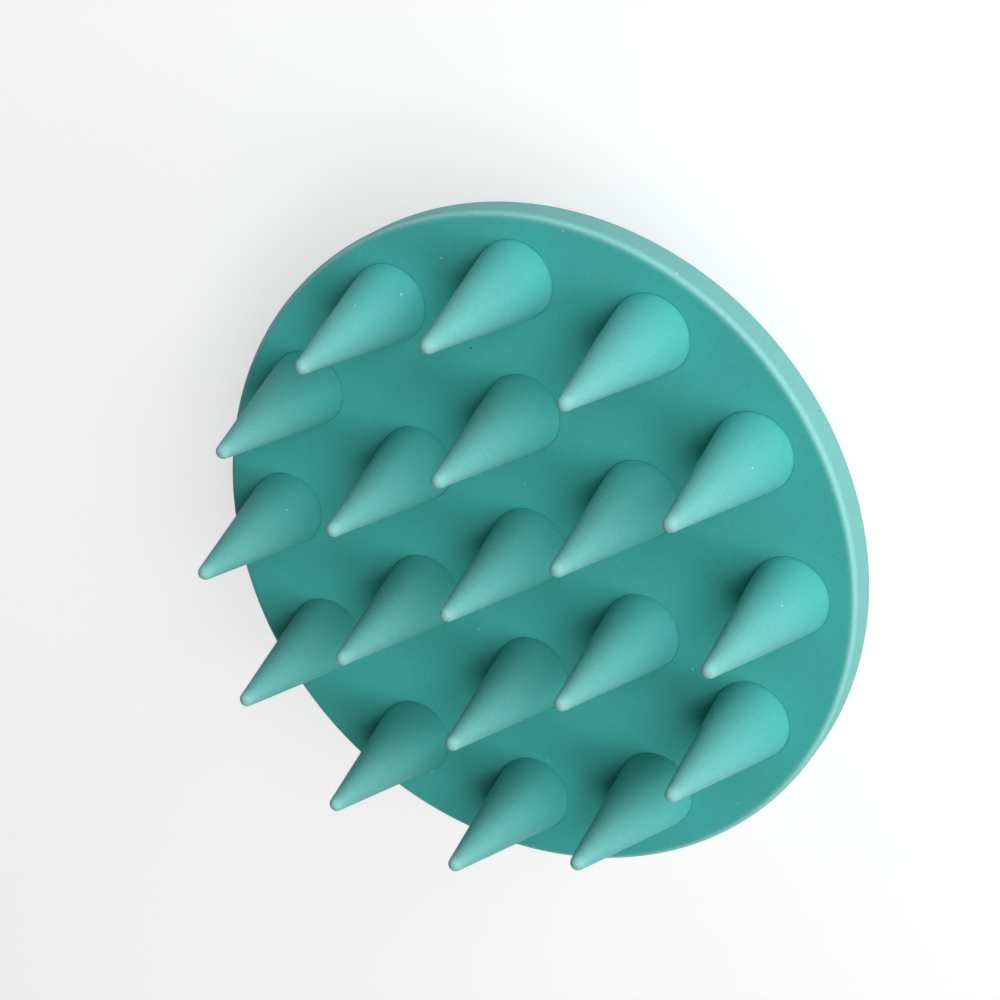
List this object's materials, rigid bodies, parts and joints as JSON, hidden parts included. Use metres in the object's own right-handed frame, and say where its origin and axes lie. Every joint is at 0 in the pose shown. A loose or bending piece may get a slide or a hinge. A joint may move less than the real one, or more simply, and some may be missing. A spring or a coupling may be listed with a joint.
{
  "type": "scalp massager brush",
  "caption": "Round palm-held scalp massager brush with soft cone teeth in rings on a dished pad over a domed grip.",
  "frame": {"origin": "middle of the grip's flat crown, on the surface that the brush stands on", "axes": "+Z along the brush's axis from the grip to the teeth; +X through one tooth of each ring"},
  "size_m": [0.08, 0.08, 0.0444],
  "materials": {
    "pad_silicone": "matt soft-touch silicone, teal",
    "tooth_silicone": "matt soft silicone, pale teal",
    "grip_soft_touch": "matt soft-touch, teal",
    "plate_plastic": "satin moulded plastic"
  },
  "bodies": {
    "root": {"tooth_pad": "pad_silicone", "base_plate": "plate_plastic", "palm_grip": "grip_soft_touch", "centre_tooth": "tooth_silicone", "inner_tooth_1": "tooth_silicone", "inner_tooth_2": "tooth_silicone", "inner_tooth_3": "tooth_silicone", "inner_tooth_4": "tooth_silicone", "inner_tooth_5": "tooth_silicone", "inner_tooth_6": "tooth_silicone", "outer_tooth_1": "tooth_silicone", "outer_tooth_2": "tooth_silicone", "outer_tooth_3": "tooth_silicone", "outer_tooth_4": "tooth_silicone", "outer_tooth_5": "tooth_silicone", "outer_tooth_6": "tooth_silicone", "outer_tooth_7": "tooth_silicone", "outer_tooth_8": "tooth_silicone", "outer_tooth_9": "tooth_silicone", "outer_tooth_10": "tooth_silicone", "outer_tooth_11": "tooth_silicone", "outer_tooth_12": "tooth_silicone"}
  },
  "joints": []
}
